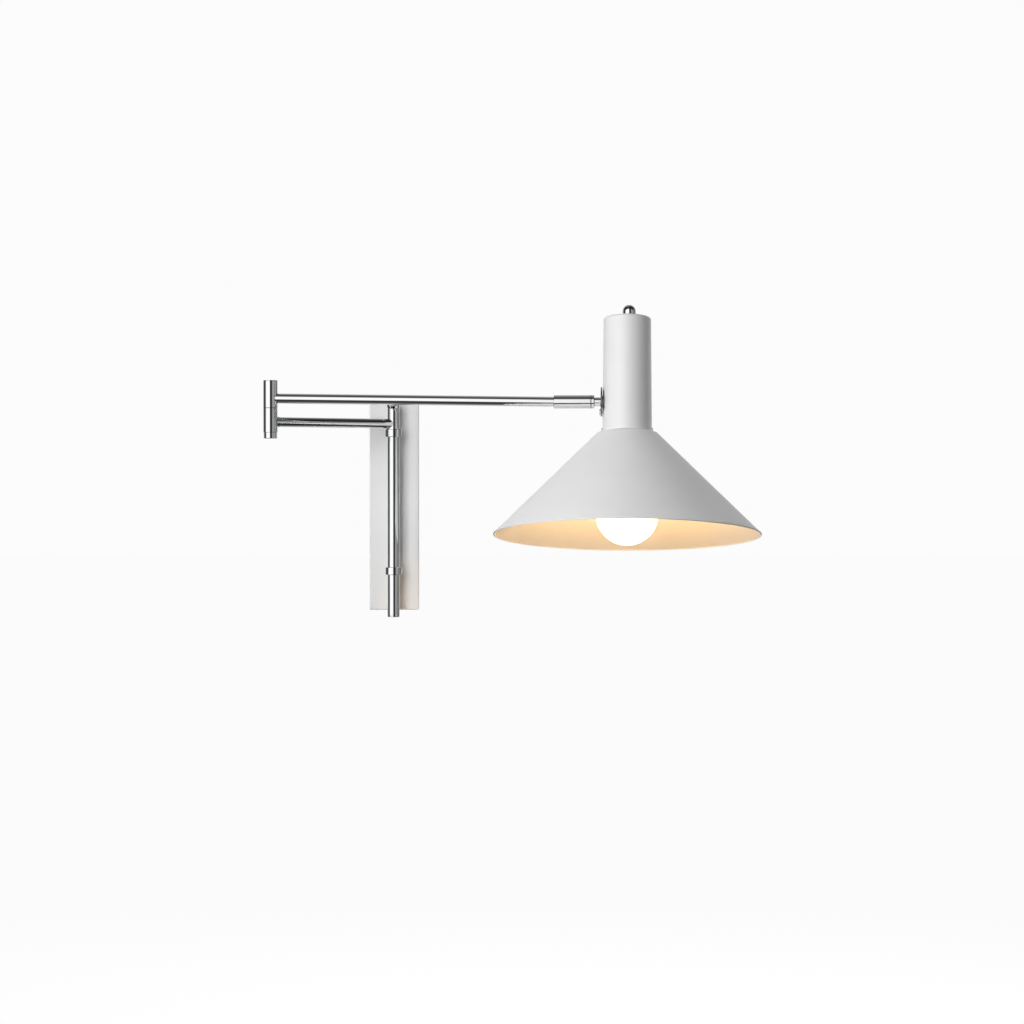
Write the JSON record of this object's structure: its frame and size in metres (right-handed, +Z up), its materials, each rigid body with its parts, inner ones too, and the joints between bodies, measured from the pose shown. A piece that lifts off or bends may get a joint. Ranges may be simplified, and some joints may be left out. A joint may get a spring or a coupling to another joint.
{
  "type": "swing arm wall lamp",
  "caption": "Wall lamp on two hinged chrome tube arms, with a tilting white can head, a wide cone shade and an opal globe bulb.",
  "frame": {"origin": "centre of the back plate's outline on the wall face", "axes": "+X along the wall to the right, +Y into the wall, +Z up; the lamp stands out along -Y"},
  "size_m": [0.6302, 0.3552, 0.4036],
  "materials": {
    "polished_chrome": "mirror polished plating",
    "white_enamel": "satin white powder coat",
    "zinc_steel": "zinc plated",
    "brass_fittings": "plain turned brass",
    "nylon_bushes": "natural nylon",
    "black_rubber": "matt",
    "holder_plastic": "moulded heat-proof plastic",
    "terminal_plastic": "moulded",
    "holder_ceramic": "unglazed",
    "cap_aluminium": "drawn sheet",
    "opal_glass": "opal, lit"
  },
  "bodies": {
    "wall_bracket": {"wall_strap": "zinc_steel", "back_plate": "white_enamel", "plate_set_screws": "zinc_steel", "cable_grommet": "black_rubber", "terminal_block": "terminal_plastic", "terminal_screws": "brass_fittings", "earth_screw": "brass_fittings", "upper_eye_bracket": "polished_chrome", "lower_eye_bracket": "polished_chrome", "ring_bushes": "nylon_bushes", "stud_washers": "zinc_steel", "stud_nuts": "zinc_steel"},
    "lower_arm": {"post_tube": "polished_chrome", "post_top_cap": "polished_chrome", "post_bottom_cap": "polished_chrome", "thrust_washer": "nylon_bushes", "lower_arm_tube": "polished_chrome", "lower_arm_collar": "polished_chrome", "lower_elbow_tube": "polished_chrome", "elbow_bottom_cap": "polished_chrome", "elbow_core": "zinc_steel", "elbow_spindle": "zinc_steel", "elbow_seam_washer": "nylon_bushes", "elbow_lock_nut": "zinc_steel"},
    "upper_arm": {"upper_elbow_tube": "polished_chrome", "elbow_top_cap": "polished_chrome", "elbow_bushes": "nylon_bushes", "upper_arm_tube": "polished_chrome", "swivel_sleeve": "polished_chrome", "swivel_end_ring": "polished_chrome", "friction_washer": "nylon_bushes", "tail_bush": "nylon_bushes"},
    "lamp_head": {"swivel_neck": "polished_chrome", "saddle_disc": "polished_chrome", "disc_screw": "polished_chrome", "saddle_spacer": "zinc_steel", "inner_saddle": "zinc_steel", "neck_nut": "zinc_steel", "head_housing": "white_enamel", "shade": "white_enamel", "shade_screws": "polished_chrome", "holder_bridge": "zinc_steel", "holder_nipple": "zinc_steel", "nipple_nuts": "zinc_steel", "holder_cap": "holder_plastic", "holder_core": "holder_ceramic", "holder_skirt": "holder_plastic", "holder_thread": "brass_fittings", "holder_contact": "brass_fittings", "bulb_globe": "opal_glass", "bulb_cap": "cap_aluminium", "bulb_tip": "brass_fittings", "switch_body": "terminal_plastic", "switch_nut": "zinc_steel"},
    "switch_knob": {"switch_shaft": "zinc_steel", "switch_knob": "polished_chrome"}
  },
  "joints": [
    {"name": "post_swing", "type": "hinge", "parent": "wall_bracket", "child": "lower_arm", "pos_m": [0, -0.038, 0.1065], "axis": [0, 0, 1], "range_deg": [-29, 141]},
    {"name": "elbow_swing", "type": "hinge", "parent": "lower_arm", "child": "upper_arm", "pos_m": [-0.15171, -0.14033, 0.1365], "axis": [0, 0, -1], "range_deg": [-14, 300]},
    {"name": "head_tilt", "type": "hinge", "parent": "upper_arm", "child": "lamp_head", "pos_m": [0.30216, -0.16412, 0.1315], "axis": [-0.9986, 0.0523, 0], "range_deg": [-98.3, 81.7]},
    {"name": "knob_turn", "type": "hinge", "parent": "lamp_head", "child": "switch_knob", "pos_m": [0.30519, -0.14838, 0.24035], "axis": [0.0076, 0.1442, 0.9895], "range_deg": [0, 90]}
  ]
}
